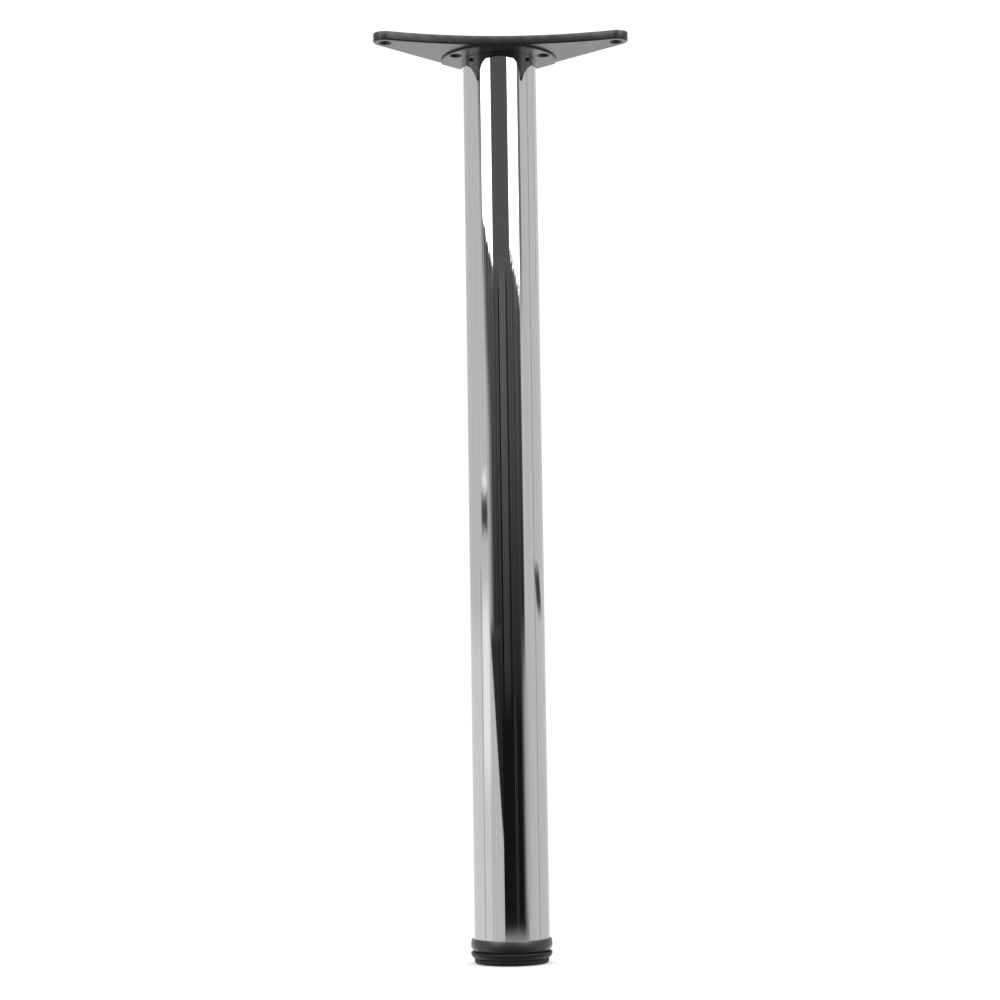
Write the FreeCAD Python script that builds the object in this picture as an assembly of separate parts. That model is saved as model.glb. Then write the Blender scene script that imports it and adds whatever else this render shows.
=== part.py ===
"""Height adjustable table leg: a chromed steel tube screwed to a die-cast corner plate, on a screw foot.

Millimetres, +Z up. The origin is on the tube's axis, on the floor, with the foot wound right in.
The plate's hollowed-out front edge faces -Y, and its two far edges meet the table's corner at +Y.
"""
import FreeCAD, Part
import math
import os
from FreeCAD import Vector

# Overall
leg_height = 730.0  # floor to the plate's top face, foot wound in
foot_travel = 20.0  # how far the foot winds out

# Tube
tube_diameter = 60.0
tube_wall = 1.0

# Mounting plate, seen in plan
corner_hole_x = 91.4
corner_hole_y = -50.0
corner_radius = 9.4
front_middle_y = -44.4  # deepest point of the hollow front edge
far_edge_angle = 45.0  # far edges against the X axis, in degrees
back_corner_radius = 4.0
back_corner_setback = 5.0  # back corner's centre, inwards from the hub's side
hub_outer_radius = 36.0
notch_radius = 4.0  # hollow between a back corner and the hub

# Mounting plate, in height
plate_thickness = 7.0
plate_skin = 3.0
plate_rim_wall = 2.8
plate_edge_chamfer = 0.9
seat_height = 1.6  # raised seat under the plate that the tube butts against
seat_radius = 46.5
seat_inset = 1.5  # from the plate's outline, where that cuts the round seat short
seat_corner_radius = 2.5
seat_edge_chamfer = 0.5
rib_width = 2.4
spigot_length = 12.0
spigot_wall = 3.0
spigot_clearance = 0.15

# Screw holes in the plate
screw_hole_diameter = 5.5
countersink_diameter = 11.0
countersink_angle = 90.0
inner_hole_x = 35.0
inner_hole_y = -19.0
screw_boss_wall = 2.2

# M10 thread and its hexagons
thread_diameter = 9.9
thread_clearance = 0.06
bolt_hole_clearance = 0.3
hex_across_flats = 17.0
hex_clearance = 0.15
nut_height = 8.0
bolt_head_height = 6.4
bolt_head_recess = 0.3  # head below the plate's top face
bolt_projection = 2.0  # bolt past the nut
hub_wall = 9.0  # metal round the bolt head's pocket

# Threaded insert in the top of the tube
insert_height = 18.0
insert_gap = 0.5  # insert's top face to the spigot's end
insert_clearance = 0.1

# End plug with its collar
collar_height = 10.0
collar_crest_height = 5.2  # crest above the collar's underside
collar_bottom_radius = 29.6
collar_top_radius = 31.2
collar_bulge = 0.8  # crest of the bulge, out from the collar's top
collar_edge_chamfer = 0.4
cup_depth = 1.2  # how far the tube's end sits in the collar
cup_clearance = 0.1
plug_depth = 14.0  # inside the tube
plug_clearance = 0.1
nut_recess = 0.5  # nut above the collar's underside

# Screw foot
foot_gap = 0.3  # foot to collar when wound in
lip_height = 5.1
lip_setback = 0.05  # lip's edge, inwards from the collar's crest
lip_edge_chamfer = 0.4
neck_radius = 28.6  # foot where it meets the sole
sole_height = 4.1
sole_radius = 29.2
sole_edge_radius = 2.3
stem_flange_radius = 8.5
stem_flange_thickness = 2.4
stem_running_clearance = 0.08
stem_end_float = 0.12  # up and down, between the flange and the foot
stem_reserve = 10.0  # thread left above the nut with the foot wound out

# Round edges of the turned pieces are made of this many short cones
round_edge_steps = 3

# Worked-out radii and places
back_corner_x = hub_outer_radius - back_corner_setback
collar_radius = collar_top_radius + collar_bulge
lip_radius = collar_radius - lip_setback
tube_radius = tube_diameter / 2
bore_radius = tube_radius - tube_wall
thread_radius = thread_diameter / 2
nut_bore_radius = thread_radius + thread_clearance
bolt_hole_radius = thread_radius + bolt_hole_clearance
hex_pocket_across_flats = hex_across_flats + 2 * hex_clearance
hex_pocket_radius = hex_pocket_across_flats / math.sqrt(3)
screw_hole_radius = screw_hole_diameter / 2
countersink_radius = countersink_diameter / 2
screw_boss_radius = countersink_radius + screw_boss_wall

# Worked-out heights, from the floor up
foot_top = sole_height + lip_height
collar_bottom = foot_top + foot_gap
collar_top = collar_bottom + collar_height
tube_bottom = collar_top - cup_depth
collar_nut_bottom = collar_bottom + nut_recess
collar_nut_top = collar_nut_bottom + nut_height
plug_top = tube_bottom + plug_depth
stem_flange_bottom = sole_height + stem_end_float
stem_flange_top = stem_flange_bottom + stem_flange_thickness
stem_top = collar_nut_top + foot_travel + stem_reserve
plate_bottom = leg_height - plate_thickness
seat_bottom = plate_bottom - seat_height
spigot_bottom = seat_bottom - spigot_length
bolt_head_top = leg_height - bolt_head_recess
bolt_head_bottom = bolt_head_top - bolt_head_height
insert_top = spigot_bottom - insert_gap
insert_bottom = insert_top - insert_height
insert_nut_top = insert_bottom + nut_height
bolt_bottom = insert_bottom - bolt_projection

up = Vector(0, 0, 1)
axis_point = Vector(0, 0, 0)


def cylinder(radius, bottom, top, x=0.0, y=0.0):
    """A round bar from one height to another."""
    return Part.makeCylinder(radius, top - bottom, Vector(x, y, bottom))


def ring(outer, inner, bottom, top):
    """A round bar with a round hole."""
    return cylinder(outer, bottom, top).cut(cylinder(inner, bottom, top))


def hexagon(across_flats, bottom, top):
    """A hexagonal bar with two flats facing the X axis."""
    corner = across_flats / math.sqrt(3)
    angles = [math.radians(30 + 60 * i) for i in range(6)]
    points = [Vector(corner * math.cos(a), corner * math.sin(a), bottom) for a in angles]
    face = Part.Face(Part.makePolygon(points + points[:1]))
    return face.extrude(Vector(0, 0, top - bottom))


def bar(length, width, bottom, top, angle=0.0, start=0.0):
    """A flat bar that runs out from the axis at an angle, from a start radius."""
    box = Part.makeBox(length - start, width, top - bottom, Vector(start, -width / 2, bottom))
    box.rotate(axis_point, up, angle)
    return box


def turned(points):
    """The solid that a closed profile of (radius, height) points makes when it is turned about Z."""
    corners = [Vector(radius, 0, height) for radius, height in points]
    face = Part.Face(Part.makePolygon(corners + corners[:1]))
    return face.revolve(axis_point, up, 360)


def bulge(bottom, top):
    """Points of the arc that starts at its lower, inner point and ends straight up at its upper point."""
    outward = top[0] - bottom[0]
    rise = top[1] - bottom[1]
    radius = (outward ** 2 + rise ** 2) / (2 * outward)
    sweep = math.atan2(rise, radius - outward)
    angles = [sweep * (1 - i / round_edge_steps) for i in range(round_edge_steps + 1)]
    return [(top[0] - radius + radius * math.cos(a), top[1] - radius * math.sin(a)) for a in angles]


def nut(bottom):
    """An M10 hexagon nut."""
    top = bottom + nut_height
    return hexagon(hex_across_flats, bottom, top).cut(cylinder(nut_bore_radius, bottom, top))


def plate_circles(inset):
    """Centres and radii of the arcs in the right half of the plate's outline, moved in by an inset."""
    a = math.radians(far_edge_angle)
    normal = Vector(math.sin(a), math.cos(a), 0)
    corner = Vector(corner_hole_x, corner_hole_y, 0)
    reach = normal.dot(corner) + corner_radius - back_corner_radius
    back = Vector(back_corner_x, (reach - normal.x * back_corner_x) / normal.y, 0)
    rise = corner_hole_y - front_middle_y
    front_radius = (corner_hole_x ** 2 + rise ** 2 - corner_radius ** 2) / (2 * (corner_radius - rise))
    front = Vector(0, front_middle_y - front_radius, 0)
    to_hub = hub_outer_radius + notch_radius
    to_back = back_corner_radius + notch_radius
    turn = math.acos((to_hub ** 2 + back.Length ** 2 - to_back ** 2) / (2 * to_hub * back.Length))
    angle = math.atan2(back.y, back.x) + turn
    notch = Vector(to_hub * math.cos(angle), to_hub * math.sin(angle), 0)
    return {
        "normal": normal,
        "corner": (corner, corner_radius - inset),
        "back": (back, back_corner_radius - inset),
        "front": (front, front_radius + inset),
        "notch": (notch, notch_radius + inset),
        "hub": (Vector(0, 0, 0), hub_outer_radius - inset),
    }


def plan_arc(centre, radius, start, end, bulge_towards):
    """An arc about a centre, between two points, that passes on the side of a direction."""
    middle = centre + bulge_towards.normalize() * radius
    return Part.Arc(start, middle, end).toShape()


def towards(circle, point):
    """The point of a circle that lies towards another point."""
    centre, radius = circle
    return centre + (point - centre).normalize() * radius


def mirrored(v):
    """A point of the plate's right half, on its left half."""
    return Vector(-v.x, v.y, v.z)


def plate_outline(inset):
    """The plate's outline in plan as a face: arcs and straight edges that meet tangent to each other."""
    c = plate_circles(inset)
    corner, back, front, notch, hub = (c[k] for k in ("corner", "back", "front", "notch", "hub"))
    front_end = towards(front, corner[0])
    far_start = corner[0] + c["normal"] * corner[1]
    far_end = back[0] + c["normal"] * back[1]
    back_end = towards(back, notch[0])
    hub_start = towards(hub, notch[0])
    corner_side = (front_end - corner[0]).normalize() + c["normal"]
    back_side = (back_end - back[0]).normalize() + c["normal"]
    notch_side = (back_end - notch[0]).normalize() + (hub_start - notch[0]).normalize()
    edges = []
    for side in (Vector, mirrored):
        f, s, e, b, h = (side(p) for p in (front_end, far_start, far_end, back_end, hub_start))
        edges.append(plan_arc(side(corner[0]), corner[1], f, s, side(corner_side)))
        edges.append(Part.LineSegment(s, e).toShape())
        edges.append(plan_arc(side(back[0]), back[1], e, b, side(back_side)))
        edges.append(plan_arc(side(notch[0]), notch[1], b, h, side(notch_side)))
    edges.append(plan_arc(front[0], front[1], front_end, mirrored(front_end), Vector(0, 1, 0)))
    edges.append(plan_arc(hub[0], hub[1], hub_start, mirrored(hub_start), Vector(0, 1, 0)))
    return Part.Face(Part.Wire(Part.__sortEdges__(edges)))


def raised(face, bottom, top):
    """A plan face, drawn at height 0, made solid between two heights."""
    solid = face.extrude(Vector(0, 0, top - bottom))
    solid.translate(Vector(0, 0, bottom))
    return solid


def edges_at(solid, height):
    """The edges of a solid that lie flat at one height."""
    near = 1e-6
    return [e for e in solid.Edges if max(abs(v.z - height) for v in e.discretize(3)) < near]


def screw_places():
    """Where the plate's four screws go, with the height of the face that each head sits in."""
    for side in (-1, 1):
        yield side * corner_hole_x, corner_hole_y, plate_bottom
        yield side * inner_hole_x, inner_hole_y, seat_bottom


def screw_hole(x, y, face):
    """A screw's hole and countersink, to be cut upwards from the face."""
    slope = math.tan(math.radians(countersink_angle / 2))
    depth = (countersink_radius - screw_hole_radius) / slope
    cone = Part.makeCone(countersink_radius, screw_hole_radius, depth, Vector(x, y, face))
    return cone.fuse(cylinder(screw_hole_radius, face, leg_height, x, y))


def plate_seat():
    """The raised round seat under the plate for the tube and the inner screws, cut short by the outline."""
    top = plate_bottom + plate_skin
    disc = cylinder(seat_radius, seat_bottom, top)
    disc.rotate(axis_point, up, 90)  # takes the seam to where the disc is cut off
    seat = disc.common(raised(plate_outline(seat_inset), seat_bottom, top))
    upright = [e for e in seat.Edges if e.BoundBox.ZLength > seat_height]
    corners = [e for e in upright if abs(math.hypot(e.CenterOfMass.x, e.CenterOfMass.y) - seat_radius) < 1e-6]
    seat = seat.makeFillet(seat_corner_radius, corners)
    return seat.makeChamfer(seat_edge_chamfer, edges_at(seat, seat_bottom))


def plate_pockets():
    """The spaces that are cored out of the plate's top, between its rim, ribs, hub and screw bosses."""
    floor = plate_bottom + plate_skin
    space = raised(plate_outline(plate_rim_wall), floor, leg_height)
    kept = [cylinder(hex_pocket_radius + hub_wall, floor, leg_height)]
    kept.append(ring(tube_radius, bore_radius - spigot_wall, floor, leg_height))
    for x, y, face in screw_places():
        kept.append(cylinder(screw_boss_radius, floor, leg_height, x, y))
        kept.append(bar(math.hypot(x, y), rib_width, floor, leg_height, math.degrees(math.atan2(y, x))))
    kept.append(bar(hub_outer_radius, rib_width, floor, leg_height, 90.0))
    for piece in kept:
        space = space.cut(piece)
    return space


def mounting_plate():
    """The die-cast corner plate, with its seat and spigot for the tube and its cored-out top."""
    plate = raised(plate_outline(0.0), plate_bottom, leg_height)
    plate = plate.makeChamfer(plate_edge_chamfer, edges_at(plate, plate_bottom))
    plate = plate.cut(plate_pockets())
    spigot_outer = bore_radius - spigot_clearance
    spigot = ring(spigot_outer, spigot_outer - spigot_wall, spigot_bottom, seat_bottom)
    plate = plate.fuse([plate_seat(), spigot]).removeSplitter()
    for place in screw_places():
        plate = plate.cut(screw_hole(*place))
    plate = plate.cut(hexagon(hex_pocket_across_flats, bolt_head_bottom, leg_height))
    return plate.cut(cylinder(bolt_hole_radius, seat_bottom, leg_height))


def fixing_bolt():
    """The M10 hexagon bolt that draws the tube up against the plate, head upwards."""
    head = hexagon(hex_across_flats, bolt_head_bottom, bolt_head_top)
    return head.fuse(cylinder(thread_radius, bolt_bottom, bolt_head_bottom)).removeSplitter()


def leg_tube():
    """The chromed round tube."""
    return ring(tube_radius, bore_radius, tube_bottom, seat_bottom)


def top_insert():
    """The moulded insert that is pressed into the top of the tube and holds the nut."""
    insert = cylinder(bore_radius - insert_clearance, insert_bottom, insert_top)
    insert = insert.cut(hexagon(hex_pocket_across_flats, insert_bottom, insert_nut_top))
    return insert.cut(cylinder(bolt_hole_radius, insert_bottom, insert_top))


def insert_nut():
    """The nut in the underside of the top insert."""
    return nut(insert_bottom)


def end_plug():
    """The moulded plug in the foot of the tube: a bulged collar with a cup for the tube, and a nut pocket."""
    inside = bore_radius - plug_clearance
    cup = tube_radius + cup_clearance
    crest = (collar_radius, collar_bottom + collar_crest_height)
    profile = [(0, collar_bottom)]
    profile += bulge((collar_bottom_radius, collar_bottom), crest)
    profile += [
        (collar_top_radius, collar_top - collar_edge_chamfer),
        (collar_top_radius - collar_edge_chamfer, collar_top),
        (cup, collar_top),
        (cup, tube_bottom),
        (inside, tube_bottom),
        (inside, plug_top),
        (0, plug_top),
    ]
    plug = turned(profile)
    plug = plug.cut(hexagon(hex_pocket_across_flats, collar_bottom, collar_nut_top))
    return plug.cut(cylinder(bolt_hole_radius, collar_bottom, plug_top))


def collar_nut():
    """The nut in the underside of the collar, which the foot's stem turns in."""
    return nut(collar_nut_bottom)


def foot_stem():
    """The foot's threaded stem with a round flange at its lower end."""
    stem = cylinder(thread_radius, stem_flange_bottom, stem_top)
    return stem.fuse(cylinder(stem_flange_radius, stem_flange_bottom, stem_flange_top)).removeSplitter()


def foot_body():
    """The moulded foot with its finger lip, turned by hand, with room below for the stem's flange."""
    profile = [(0, sole_height)]
    profile += bulge((neck_radius, sole_height), (lip_radius, foot_top - lip_edge_chamfer))
    profile += [(lip_radius - lip_edge_chamfer, foot_top), (0, foot_top)]
    flange_space = stem_flange_radius + stem_running_clearance
    foot = turned(profile)
    foot = foot.cut(cylinder(flange_space, sole_height, stem_flange_top + stem_end_float))
    return foot.cut(cylinder(thread_radius + stem_running_clearance, sole_height, foot_top))


def foot_sole():
    """The soft round sole that is bonded under the foot."""
    profile = [(0, 0)]
    profile += bulge((sole_radius - sole_edge_radius, 0), (sole_radius, sole_edge_radius))
    profile += [(sole_radius, sole_height), (0, sole_height)]
    return turned(profile)


nodes = {
    "mounting_plate": mounting_plate,
    "fixing_bolt": fixing_bolt,
    "leg_tube": leg_tube,
    "top_insert": top_insert,
    "insert_nut": insert_nut,
    "end_plug": end_plug,
    "collar_nut": collar_nut,
    "foot_stem": foot_stem,
    "foot_body": foot_body,
    "foot_sole": foot_sole,
}

os.makedirs("parts", exist_ok=True)
for name, make in nodes.items():
    shape = make()
    solids = shape.Solids
    if len(solids) != 1 or not solids[0].isValid():
        raise ValueError(f"{name} is not one sound solid: {len(solids)} solids")
    solids[0].exportStep(f"parts/{name}.step")
    print(f"{name}: {solids[0].Volume / 1000:.2f} cm3")
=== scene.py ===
"""The looks of a height adjustable table leg: fine meshes, finishes, a white studio and the camera.

Metres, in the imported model's frame: +Z up, origin on the tube's axis at the floor, plate's front edge at -Y.
"""
import math

import bmesh
import bpy
from mathutils import Matrix, Vector


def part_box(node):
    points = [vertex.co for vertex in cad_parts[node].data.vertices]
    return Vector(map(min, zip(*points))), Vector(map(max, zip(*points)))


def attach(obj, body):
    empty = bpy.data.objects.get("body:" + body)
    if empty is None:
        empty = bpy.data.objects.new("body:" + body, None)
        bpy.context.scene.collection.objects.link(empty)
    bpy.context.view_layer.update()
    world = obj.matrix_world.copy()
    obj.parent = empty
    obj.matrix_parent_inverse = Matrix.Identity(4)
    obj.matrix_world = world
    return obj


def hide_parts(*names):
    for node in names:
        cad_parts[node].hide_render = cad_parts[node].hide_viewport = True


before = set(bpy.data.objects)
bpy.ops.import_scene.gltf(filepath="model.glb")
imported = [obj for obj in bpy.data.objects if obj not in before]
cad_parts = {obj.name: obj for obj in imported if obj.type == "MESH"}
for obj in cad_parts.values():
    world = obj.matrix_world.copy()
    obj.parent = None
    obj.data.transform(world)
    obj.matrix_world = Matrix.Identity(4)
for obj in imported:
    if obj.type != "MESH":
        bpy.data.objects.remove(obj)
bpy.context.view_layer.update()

MM = 0.001

# How finely round shapes are made. A multiple of 12 sides keeps the corners of hexagons
SIDES = 192
SCREW_SIDES = 72
ARC_STEP = math.radians(9)
BULGE_STEPS = 14
SHARP_EDGE = math.radians(32)

# Mounting plate
PLATE_ROUNDING = 0.45 * MM

# Tube
TUBE_WALL = 1.0 * MM
TUBE_EDGE = 0.2 * MM
TUBE_BAND = 0.6 * MM  # at each end, keeps the edge's rounding out of the wall's shading

# End plug and its collar
COLLAR_HEIGHT = 10.0 * MM
COLLAR_CREST = 5.2 * MM  # above the collar's underside
COLLAR_BOTTOM_RADIUS = 29.6 * MM
COLLAR_TOP_RADIUS = 31.2 * MM
COLLAR_EDGE = 0.45 * MM
CUP_CLEARANCE = 0.1 * MM
PLUG_CLEARANCE = 0.1 * MM

# Screw foot
LIP_EDGE = 0.45 * MM
NECK_RADIUS = 28.6 * MM
SOLE_EDGE = 2.3 * MM
SOLE_TOP_EDGE = 0.5 * MM
FLANGE_RADIUS = 8.5 * MM
FLANGE_THICKNESS = 2.4 * MM
FLANGE_FLOAT = 0.12 * MM
RUNNING_CLEARANCE = 0.08 * MM

# M10 hardware
THREAD_RADIUS = 4.95 * MM
THREAD_PITCH = 1.5 * MM
THREAD_DEPTH = 0.85 * MM
THREAD_ROWS = 10  # to one turn
THREAD_FLANK = 2.6  # steepness of the flanks, which take up the whole pitch at 2
HEX_ACROSS_FLATS = 17.0 * MM
HEX_CLEARANCE = 0.15 * MM
HEX_CHAMFER = math.tan(math.radians(30))
HEX_FACE = 0.95  # round face at the chamfer, as a share of the flats
HOLE_CLEARANCE = 0.3 * MM
BORE_CLEARANCE = 0.06 * MM
BORE_CHAMFER = 0.7 * MM
BOLT_HEAD_DEPTH = 6.7 * MM  # underside of the bolt's head, below the plate's top face

# Moulded and coated finishes
PATCH_SCALE = 45.0  # of the noise that makes a finish a little uneven
ROUGHNESS_SPREAD = 0.02
GRAIN_STRENGTH = 0.6

# Camera, placed by the tube's edges, the screw holes and the ovals of collar and foot in the photograph
CAMERA_PLACE = (-0.0653, -1.8437, 0.1907)
CAMERA_YAW = math.radians(1.900)  # to the right
CAMERA_PITCH = math.radians(5.374)  # upwards
CAMERA_ROLL = math.radians(-0.839)
CAMERA_LENS = 83.61
CAMERA_SENSOR = 36.0

# Floor
FLOOR_SIZE = 60.0
FLOOR_DROP = 0.05 * MM  # under the sole
FLOOR_GLOW = 0.35

# Studio: the even white that the camera and matt surfaces see, and the walls that shine in glossy ones
WHITE_LIGHT = 1.12
WALL_LIGHT = 0.82
LOW_LIGHT = 1.75
BOX_LIGHT = 4.0
OVERHEAD_LIGHT = 8.0
DARK_LIGHT = 0.12

# Studio, in degrees
FULL = 400.0  # past any direction
FRONT_TOP = 40.0  # top of the front wall and its soft boxes
FLOOR_EDGE = -5.35  # where the floor starts in front
BACK_EDGE = -8.0  # where the bright low walls start behind
STREAK_SCALE = 0.22  # of the noise across the walls
SPECK_SCALE = 0.25  # of the noise at ragged ends
SPECK_STRETCH = 25.0  # a degree upwards looks far longer on the tube than one across


class Graph:
    """A node tree that is filled by short calls."""

    def __init__(self, tree):
        self.tree = tree
        tree.nodes.clear()

    def node(self, kind, inputs=(), **settings):
        """Adds a node with its settings and inputs, which are values or other nodes' outputs."""
        made = self.tree.nodes.new(kind)
        for name, value in settings.items():
            setattr(made, name, value)
        for socket, value in dict(inputs).items():
            if isinstance(value, bpy.types.NodeSocket):
                self.tree.links.new(value, made.inputs[socket])
            else:
                made.inputs[socket].default_value = value
        return made

    def math(self, operation, *values):
        """The result of one sum."""
        return self.node("ShaderNodeMath", enumerate(values), operation=operation).outputs[0]

    def ramp(self, value, start, end, low=0.0, high=1.0):
        """A value that goes smoothly from low at start to high at end."""
        span = {"Value": value, "From Min": start, "From Max": end, "To Min": low, "To Max": high}
        return self.node("ShaderNodeMapRange", span, interpolation_type="SMOOTHSTEP").outputs["Result"]

    def window(self, value, start, end, softness):
        """1 between start and end, 0 outside, with soft ends."""
        rise = self.ramp(value, start - softness, start + softness)
        fall = self.ramp(value, end - softness, end + softness, 1.0, 0.0)
        return self.math("MULTIPLY", rise, fall)

    def noise(self, place, scale, detail=2.0):
        """Noise over a place, about 0.5 on average."""
        inputs = {"Vector": place, "Scale": scale, "Detail": detail}
        return self.node("ShaderNodeTexNoise", inputs).outputs[0]


def angles(sides):
    """Directions round the axis, counter-clockwise from +X."""
    return [2 * math.pi * i / sides for i in range(sides)]


def spoke(angle, reach, height):
    """The point that lies a reach out from the axis, in a direction."""
    return Vector((reach * math.cos(angle), reach * math.sin(angle), height))


def circle(radius, height, sides=SIDES):
    """A round loop of points about the axis."""
    return [spoke(a, radius, height) for a in angles(sides)]


def pole(height):
    """A loop that has shrunk to one point of the axis."""
    return [Vector((0, 0, height))]


def hex_loop(across_flats, height, slope=0.0, sides=SIDES):
    """A hexagonal loop with two flats facing X. A slope lowers its corners where a chamfer takes them."""
    sixth = math.pi / 3
    points = []
    for a in angles(sides):
        reach = across_flats / 2 / math.cos((a + sixth / 2) % sixth - sixth / 2)
        cut = max(0.0, reach - HEX_FACE * across_flats / 2)
        points.append(spoke(a, reach, height - slope * cut))
    return points


def corner_arc(before, corner, after, rounding):
    """The points that round one corner of a profile."""
    back = (before - corner).normalized()
    on = (after - corner).normalized()
    half = back.angle(on) / 2
    centre = corner + (back + on).normalized() * (rounding / math.sin(half))
    start = corner + back * (rounding / math.tan(half)) - centre
    turn = math.pi - 2 * half
    if back.cross(on) > 0:
        turn = -turn
    steps = max(2, math.ceil(abs(turn) / ARC_STEP))
    return [centre + Matrix.Rotation(turn * i / steps, 2) @ start for i in range(steps + 1)]


def rounded(corners):
    """A closed profile through (radius, height, rounding) corners, with the corners made round."""
    points = [Vector(c[:2]) for c in corners]
    profile = []
    for i, (_, _, rounding) in enumerate(corners):
        if rounding:
            profile += corner_arc(points[i - 1], points[i], points[(i + 1) % len(points)], rounding)
        else:
            profile.append(points[i])
    return profile


def bulge(low, crest):
    """Corners of the arc from a low point, on a slant, to a crest where it stands upright."""
    outward = crest[0] - low[0]
    rise = crest[1] - low[1]
    radius = (outward ** 2 + rise ** 2) / (2 * outward)
    sweep = math.asin(rise / radius)
    turns = [sweep * (1 - i / BULGE_STEPS) for i in range(BULGE_STEPS + 1)]
    return [(crest[0] - radius * (1 - math.cos(t)), crest[1] - radius * math.sin(t), 0) for t in turns]


def lofted(name, loops, closed=False):
    """A piece skinned over loops of points, smooth but for its sharp edges."""
    work = bmesh.new()
    rings = [[work.verts.new(point) for point in loop] for loop in loops]
    following = rings[1:] + rings[:1] if closed else rings[1:]
    for lower, upper in zip(rings, following):
        sides = max(len(lower), len(upper))
        for i in range(sides):
            j = (i + 1) % sides
            below = [lower[k % len(lower)] for k in (i, j)]
            above = [upper[k % len(upper)] for k in (j, i)]
            work.faces.new(dict.fromkeys(below + above))  # keeps a pole's point once
    bmesh.ops.recalc_face_normals(work, faces=work.faces)
    for face in work.faces:
        face.smooth = True
    for edge in work.edges:
        edge.smooth = edge.calc_face_angle(0.0) < SHARP_EDGE
    mesh = bpy.data.meshes.new(name)
    work.to_mesh(mesh)
    work.free()
    piece = bpy.data.objects.new(name, mesh)
    bpy.context.scene.collection.objects.link(piece)
    return piece


def turned(name, corners):
    """A piece turned about the axis from a closed profile of (radius, height, rounding) corners."""
    return lofted(name, [circle(*point) for point in rounded(corners)], closed=True)


def stand_in(piece, node, body, material):
    """Puts a fine piece in a CAD node's place."""
    piece.data.materials.append(material)
    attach(piece, body)
    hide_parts(node)


def finish_node(node, material):
    """Gives a CAD node that stays its finish."""
    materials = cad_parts[node].data.materials
    materials.clear()
    materials.append(material)


def thread_loops(bottom, top):
    """Loops of a right-hand thread that runs out at both ends."""
    rows = round((top - bottom) / THREAD_PITCH * THREAD_ROWS)
    loops = []
    for row in range(rows + 1):
        height = bottom + (top - bottom) * row / rows
        run_out = THREAD_DEPTH - min(height - bottom, top - height)
        points = []
        for a in angles(SCREW_SIDES):
            phase = (height / THREAD_PITCH - a / (2 * math.pi)) % 1.0
            groove = min(1.0, max(0.0, THREAD_FLANK * (abs(phase - 0.5) - 0.5) + 1.0))
            points.append(spoke(a, THREAD_RADIUS - max(THREAD_DEPTH * groove, run_out), height))
        loops.append(points)
    return loops


def plate(material):
    """The cast corner plate: the CAD node, with its edges rounded."""
    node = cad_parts["mounting_plate"]
    finish_node("mounting_plate", material)
    weld = node.modifiers.new("weld", "WELD")
    weld.merge_threshold = 0.001 * MM
    flats = node.modifiers.new("flats", "DECIMATE")
    flats.decimate_type = "DISSOLVE"
    flats.angle_limit = math.radians(0.5)
    edges = node.modifiers.new("edges", "BEVEL")
    edges.width = PLATE_ROUNDING
    edges.segments = 3
    edges.limit_method = "ANGLE"
    edges.angle_limit = SHARP_EDGE
    edges.harden_normals = True


def tube(material):
    """The chromed tube, with lightly broken edges."""
    low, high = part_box("leg_tube")
    corners = []
    for radius, ends in ((high.x, (low.z, high.z)), (high.x - TUBE_WALL, (high.z, low.z))):
        start, end = ends
        inwards = TUBE_BAND if end > start else -TUBE_BAND
        corners += [(radius, start, TUBE_EDGE), (radius, start + inwards, 0)]
        corners += [(radius, end - inwards, 0), (radius, end, TUBE_EDGE)]
    piece = turned("tube", corners)
    stand_in(piece, "leg_tube", "leg", material)


def collar(material):
    """The end plug: its bulged collar, the cup for the tube and the pocket for the nut."""
    low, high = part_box("end_plug")
    tube_low, tube_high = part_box("leg_tube")
    top = low.z + COLLAR_HEIGHT
    crest = (high.x, low.z + COLLAR_CREST)
    upper = bulge((COLLAR_TOP_RADIUS, 2 * crest[1] - top), crest)[1:-1]
    cup = tube_high.x + CUP_CLEARANCE
    inside = tube_high.x - TUBE_WALL - PLUG_CLEARANCE
    hole = THREAD_RADIUS + HOLE_CLEARANCE
    corners = bulge((COLLAR_BOTTOM_RADIUS, low.z), crest)
    corners += [(r, 2 * crest[1] - z, 0) for r, z, _ in reversed(upper)]
    corners += [
        (COLLAR_TOP_RADIUS, top, COLLAR_EDGE),
        (cup, top, 0),
        (cup, tube_low.z, 0),
        (inside, tube_low.z, 0),
        (inside, high.z, COLLAR_EDGE),
        (hole, high.z, 0),
    ]
    pocket = HEX_ACROSS_FLATS + 2 * HEX_CLEARANCE
    pocket_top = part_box("collar_nut")[1].z
    loops = [circle(*point) for point in rounded(corners)]
    loops += [circle(hole, pocket_top), hex_loop(pocket, pocket_top), hex_loop(pocket, low.z)]
    stand_in(lofted("collar", loops, closed=True), "end_plug", "leg", material)


def foot(material):
    """The foot with its finger lip, hollow underneath for the stem's flange."""
    low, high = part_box("foot_body")
    space = FLANGE_RADIUS + RUNNING_CLEARANCE
    space_top = low.z + FLANGE_THICKNESS + 2 * FLANGE_FLOAT
    hole = THREAD_RADIUS + RUNNING_CLEARANCE
    corners = bulge((NECK_RADIUS, low.z), (high.x, high.z - LIP_EDGE))[:-1]
    corners += [
        (high.x, high.z, LIP_EDGE),
        (hole, high.z, LIP_EDGE),
        (hole, space_top, 0),
        (space, space_top, 0),
        (space, low.z, 0),
    ]
    stand_in(turned("foot", corners), "foot_body", "foot", material)


def sole(material):
    """The soft round sole."""
    low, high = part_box("foot_sole")
    centre = 0.01 * MM
    corners = [
        (centre, low.z, 0),
        (high.x, low.z, SOLE_EDGE),
        (high.x, high.z, SOLE_TOP_EDGE),
        (centre, high.z, 0),
    ]
    stand_in(turned("sole", corners), "foot_sole", "foot", material)


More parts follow.
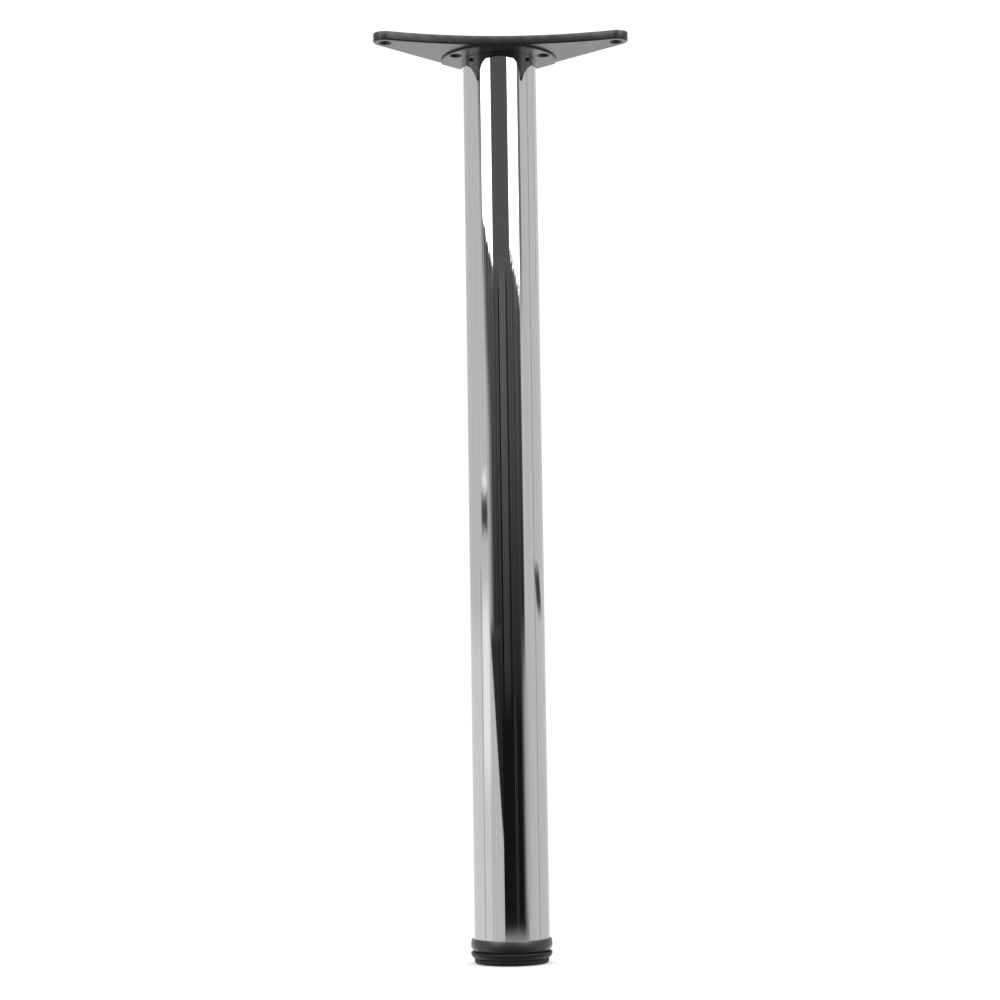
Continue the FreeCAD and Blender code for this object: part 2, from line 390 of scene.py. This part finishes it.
def stem(material):
    """The foot's threaded stem on its flange."""
    low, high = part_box("foot_stem")
    flange_top = low.z + FLANGE_THICKNESS
    loops = [pole(low.z)]
    loops += [circle(FLANGE_RADIUS, height, SCREW_SIDES) for height in (low.z, flange_top)]
    loops += thread_loops(flange_top, high.z)
    loops.append(pole(high.z))
    stand_in(lofted("stem", loops), "foot_stem", "stem", material)


def bolt(material):
    """The hexagon bolt in the top of the plate."""
    low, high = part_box("fixing_bolt")
    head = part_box("mounting_plate")[1].z - BOLT_HEAD_DEPTH
    loops = [pole(low.z)]
    loops += thread_loops(low.z, head)
    loops += [
        hex_loop(HEX_ACROSS_FLATS, head, 0.0, SCREW_SIDES),
        hex_loop(HEX_ACROSS_FLATS, high.z, HEX_CHAMFER, SCREW_SIDES),
        circle(HEX_FACE * HEX_ACROSS_FLATS / 2, high.z, SCREW_SIDES),
        pole(high.z),
    ]
    stand_in(lofted("bolt", loops), "fixing_bolt", "leg", material)


def nut(name, node, material):
    """A hexagon nut with chamfered corners and bore."""
    low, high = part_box(node)
    bore = THREAD_RADIUS + BORE_CLEARANCE
    face = HEX_FACE * HEX_ACROSS_FLATS / 2
    loops = [
        circle(bore, low.z + BORE_CHAMFER),
        circle(bore + BORE_CHAMFER, low.z),
        circle(face, low.z),
        hex_loop(HEX_ACROSS_FLATS, low.z, -HEX_CHAMFER),
        hex_loop(HEX_ACROSS_FLATS, high.z, HEX_CHAMFER),
        circle(face, high.z),
        circle(bore + BORE_CHAMFER, high.z),
        circle(bore, high.z - BORE_CHAMFER),
    ]
    stand_in(lofted(name, loops, closed=True), node, "leg", material)


def new_material(name):
    """A material with an empty graph, and the place on its object."""
    material = bpy.data.materials.new(name)
    material.use_nodes = True
    graph = Graph(material.node_tree)
    place = graph.node("ShaderNodeTexCoord").outputs["Object"]
    return material, graph, place


def shade(graph, inputs):
    """The surface shader of a material."""
    shader = graph.node("ShaderNodeBsdfPrincipled", inputs)
    graph.node("ShaderNodeOutputMaterial", {"Surface": shader.outputs["BSDF"]})


def bumped(graph, height, depth, strength):
    """A normal that follows a height."""
    inputs = {"Height": height, "Distance": depth, "Strength": strength}
    return graph.node("ShaderNodeBump", inputs).outputs["Normal"]


def colour_blend(graph, share, dark, light):
    """A colour between two others."""
    mix = graph.node("ShaderNodeMix", {"Factor": share}, data_type="RGBA")
    mix.inputs[6].default_value = (*dark, 1)
    mix.inputs[7].default_value = (*light, 1)
    return mix.outputs[2]


def grained(name, dark, light, roughness, grain, depth, gloss=0.5):
    """A moulded or coated finish with a fine grain, between a dark and a light grey."""
    material, graph, place = new_material(name)
    patches = graph.noise(place, PATCH_SCALE)
    fine = graph.noise(place, grain, 3.0)
    smoothest = roughness - ROUGHNESS_SPREAD
    roughest = roughness + ROUGHNESS_SPREAD
    shade(graph, {
        "Base Color": colour_blend(graph, fine, (dark, dark, dark), (light, light, light)),
        "Roughness": graph.ramp(patches, 0.25, 0.75, smoothest, roughest),
        "Specular IOR Level": gloss,
        "Normal": bumped(graph, fine, depth, GRAIN_STRENGTH),
    })
    return material


def chrome():
    """Mirror chrome with a breath of polishing marks along the tube."""
    material, graph, place = new_material("mirror_chrome")
    drawn = graph.node("ShaderNodeMapping", {"Vector": place, "Scale": (1, 1, 0.02)}).outputs[0]
    streaks = graph.noise(drawn, 420.0)
    smudges = graph.noise(place, 30.0)
    shade(graph, {
        "Base Color": (0.556, 0.566, 0.548, 1),
        "Metallic": 1.0,
        "Roughness": graph.ramp(smudges, 0.3, 0.8, 0.015, 0.04),
        "Normal": bumped(graph, streaks, 0.002 * MM, 0.3),
    })
    return material


def zinc():
    """Zinc-plated steel, a little blotched."""
    material, graph, place = new_material("zinc_plated_steel")
    blotches = graph.noise(place, 180.0, 4.0)
    shade(graph, {
        "Base Color": colour_blend(graph, blotches, (0.50, 0.51, 0.53), (0.72, 0.71, 0.67)),
        "Metallic": 1.0,
        "Roughness": graph.ramp(blotches, 0.3, 0.7, 0.22, 0.38),
        "Normal": bumped(graph, graph.noise(place, 2500.0), 0.01 * MM, 0.4),
    })
    return material


class Studio(Graph):
    """The room that shows in glossy surfaces, painted by direction.

    Azimuth runs from the camera's side to the right and elevation upwards, both in degrees.
    """

    def __init__(self, tree):
        super().__init__(tree)
        towards = self.node("ShaderNodeTexCoord").outputs["Generated"]
        x, y, z = self.node("ShaderNodeSeparateXYZ", {"Vector": towards}).outputs
        turn = math.degrees(1)
        self.azimuth = self.math("MULTIPLY", self.math("ARCTAN2", x, self.math("MULTIPLY", y, -1.0)), turn)
        self.elevation = self.math("MULTIPLY", self.math("ARCSINE", z), turn)
        upright = self.node("ShaderNodeCombineXYZ", {"X": self.azimuth}).outputs[0]
        tall = self.math("MULTIPLY", self.elevation, SPECK_STRETCH)
        spread = self.node("ShaderNodeCombineXYZ", {"X": self.azimuth, "Y": tall}).outputs[0]
        streaks = self.noise(upright, STREAK_SCALE, 4.0)
        self.specks = self.noise(spread, SPECK_SCALE, 4.0)
        self.lines = self.ramp(streaks, 0.3, 0.7, 0.5, 1.5)
        self.light = self.ramp(streaks, 0.3, 0.7, 0.9 * WALL_LIGHT, 1.1 * WALL_LIGHT)

    def blend(self, under, over, cover):
        """A value laid over another as far as it covers."""
        rest = self.math("MULTIPLY", under, self.math("SUBTRACT", 1.0, cover))
        return self.math("ADD", rest, self.math("MULTIPLY", over, cover))

    def panel(self, brightness, azimuths, elevations, soft=1.0, blur=0.3, lean=0.0, slope=0.0, ragged=0.0):
        """Paints a panel over what is there already, with its sides soft and its ends blurred by some degrees.

        Its sides lean, in azimuth to elevation. Its ends slope, in elevation to azimuth, and may be ragged.
        """
        across = self.azimuth
        if lean:
            across = self.math("ADD", across, self.math("MULTIPLY", self.elevation, lean))
        height = self.elevation
        if slope:
            height = self.math("ADD", height, self.math("MULTIPLY", self.azimuth, slope))
        if ragged:
            rough = self.math("MULTIPLY", self.math("SUBTRACT", self.specks, 0.5), ragged)
            height = self.math("ADD", height, rough)
        beside = self.window(across, *azimuths, soft)
        cover = self.math("MULTIPLY", beside, self.window(height, *elevations, blur))
        self.light = self.blend(self.light, brightness, cover)

    def shade(self, share, azimuths, elevations, soft=0.6, blur=0.3):
        """Lets only a share of the light through."""
        dimmed = self.math("MULTIPLY", self.light, share)
        self.panel(dimmed, azimuths, elevations, soft, blur)


def dark_front(s):
    """The dark side of the room, behind the camera, with its slanting left end low down."""
    lined = s.math("MULTIPLY", s.lines, s.ramp(s.elevation, 0.0, 11.0, 0.3, 1.0))
    dark = s.math("MULTIPLY", lined, DARK_LIGHT)
    s.panel(dark, (-21.0, 54.0), (-FULL, FRONT_TOP))
    s.panel(dark, (-49.0, -10.0), (1.6, FRONT_TOP), 11.0, 0.8)
    s.panel(dark, (-33.0, 10.0), (8.0, FRONT_TOP), 10.0, 1.5, lean=2.4)
    s.panel(dark, (-41.0, 20.0), (-2.9, 2.2), 1.5, 0.4, lean=6.22)
    # upright bars: black, grey and black again
    s.panel(s.math("MULTIPLY", lined, 0.02), (-16.0, -11.5), (0.0, 10.9), 0.8, 0.8)
    s.panel(s.math("MULTIPLY", lined, 0.19), (-11.0, 6.0), (0.0, 11.5), 0.8)
    s.panel(s.math("MULTIPLY", lined, 0.05), (7.0, 13.0), (0.0, 11.0))
    # the black foot of the wall, with two thin pale lines and a pale right end
    s.panel(0.012, (-21.0, 38.0), (FLOOR_EDGE, 0.5), 1.0, 0.9)
    s.panel(0.10, (16.0, 17.5), (FLOOR_EDGE, 0.5), 0.6)
    s.panel(0.08, (20.5, 22.0), (FLOOR_EDGE, 0.5), 0.6)
    s.panel(0.65, (46.0, 62.0), (FLOOR_EDGE, 1.5), 8.0, 1.5)
    # the floor in front: a pale strip along the wall, and dark nearer the leg
    s.panel(0.70, (-25.0, 60.0), (-8.5, FLOOR_EDGE), 3.0, 0.35)
    s.panel(0.02, (-70.0, 70.0), (-FULL, -9.5), 10.0, 1.0)


def soft_boxes(s):
    """The dim wall over the camera, a soft box at each side of it, a grey strip and the light overhead."""
    s.panel(0.14, (-29.0, 22.0), (10.9, FRONT_TOP), 1.0, 0.5)
    s.panel(BOX_LIGHT, (-62.0, -29.5), (9.88, FRONT_TOP), 0.8, 0.08, slope=0.041, ragged=0.9)
    s.panel(BOX_LIGHT, (22.5, 54.5), (12.37, FRONT_TOP), 0.8, 0.08, slope=0.0353, ragged=1.8)
    s.panel(0.25, (55.0, 63.0), (10.5, FRONT_TOP), 1.0, 1.5)
    s.panel(OVERHEAD_LIGHT, (-110.0, 110.0), (33.0, 75.0), 10.0, 3.0)


def wall_marks(s):
    """The seams and odd things on the side walls."""
    # thin dark seams, two at the right and two at the left
    s.shade(0.45, (94.0, 96.0), (-FULL, FULL))
    s.shade(0.55, (126.0, 128.5), (10.5, FULL))
    s.shade(0.5, (-87.5, -85.0), (-FULL, 3.6))
    s.shade(0.4, (-64.5, -62.5), (10.9, FULL))
    # at the left, a dark blotch under a bright one, and a bright patch lower down
    s.panel(0.10, (-80.0, -58.0), (4.6, 5.5), 4.0, 0.3, ragged=0.9)
    s.panel(1.3, (-76.0, -60.0), (5.6, 6.1), 5.0, 0.2, ragged=0.9)
    s.panel(1.35, (-82.0, -58.0), (-1.5, 3.0), 5.0, 1.0)
    # at the right, a slanting dark blotch
    s.panel(0.08, (136.0, 160.0), (2.6, 3.7), 5.0, 0.3, lean=12.0, ragged=0.5)
    # behind, a bright upright strip
    s.panel(1.5, (-172.0, -150.0), (-FULL, FULL), 6.0)


def low_walls(s):
    """The pale low walls, which light the plate's underside from behind, with a dark corner at each side."""
    s.panel(1.0, (-FULL, -60.0), (-FULL, 2.2), 4.0, 1.0)
    for side in (-1.0, 1.0):
        behind = sorted((100.0 * side, FULL * side))
        corner = sorted((106.0 * side, 126.0 * side))
        s.panel(LOW_LIGHT, behind, (-FULL, BACK_EDGE), 10.0, 2.0)
        s.panel(0.25, corner, (-FULL, BACK_EDGE), 5.0, 2.0)


def studio_light():
    """A white room for the camera and matt surfaces. Glossy ones see its walls, dark front and soft boxes."""
    world = bpy.data.worlds.new("studio")
    world.use_nodes = True
    world.cycles.sampling_method = "NONE"
    bpy.context.scene.world = world
    s = Studio(world.node_tree)
    low_walls(s)
    dark_front(s)
    soft_boxes(s)
    wall_marks(s)
    glossy = s.node("ShaderNodeLightPath").outputs["Is Glossy Ray"]
    strength = s.blend(WHITE_LIGHT, s.light, glossy)
    background = s.node("ShaderNodeBackground", {"Color": (1, 1, 1, 1), "Strength": strength})
    s.node("ShaderNodeOutputWorld", {"Surface": background.outputs[0]})


def floor():
    """The pale floor. It goes with the foot, to stay under the sole, and doesn't show in the chrome."""
    material, graph, _ = new_material("pale_floor")
    shade(graph, {
        "Base Color": (0.75, 0.75, 0.75, 1),
        "Roughness": 1.0,
        "Specular IOR Level": 0.0,
        "Emission Color": (1, 1, 1, 1),
        "Emission Strength": FLOOR_GLOW,
    })
    half = FLOOR_SIZE / 2
    mesh = bpy.data.meshes.new("floor")
    square = [(-half, -half), (half, -half), (half, half), (-half, half)]
    mesh.from_pydata([(x, y, -FLOOR_DROP) for x, y in square], [], [range(4)])
    mesh.materials.append(material)
    plane = bpy.data.objects.new("floor", mesh)
    bpy.context.scene.collection.objects.link(plane)
    plane.visible_glossy = False
    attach(plane, "foot")


def camera():
    """The camera at the photograph's viewpoint."""
    data = bpy.data.cameras.new("camera")
    data.lens = CAMERA_LENS
    data.sensor_width = CAMERA_SENSOR
    view = bpy.data.objects.new("camera", data)
    bpy.context.scene.collection.objects.link(view)
    turn = Matrix.Rotation(-CAMERA_YAW, 4, "Z")
    tilt = Matrix.Rotation(math.pi / 2 + CAMERA_PITCH, 4, "X")
    roll = Matrix.Rotation(CAMERA_ROLL, 4, "Z")
    view.matrix_world = Matrix.Translation(CAMERA_PLACE) @ turn @ tilt @ roll
    bpy.context.scene.camera = view


powder = grained("black_powder_coat", 0.006, 0.013, roughness=0.34, grain=1100.0, depth=0.02 * MM, gloss=0.45)
satin = grained("black_satin_plastic", 0.012, 0.020, roughness=0.34, grain=1600.0, depth=0.01 * MM)
dull = grained("black_dull_plastic", 0.004, 0.008, roughness=0.52, grain=1600.0, depth=0.01 * MM, gloss=0.25)
rubber = grained("black_rubber", 0.004, 0.008, roughness=0.65, grain=1300.0, depth=0.02 * MM, gloss=0.25)
nylon = grained("grey_nylon", 0.10, 0.14, roughness=0.5, grain=1500.0, depth=0.01 * MM)
steel = zinc()
plate(powder)
tube(chrome())
collar(satin)
foot(dull)
sole(rubber)
stem(steel)
bolt(steel)
nut("nut_top", "insert_nut", steel)
nut("nut_bottom", "collar_nut", steel)
finish_node("top_insert", nylon)
studio_light()
floor()
camera()
bpy.context.scene.view_settings.view_transform = "Standard"
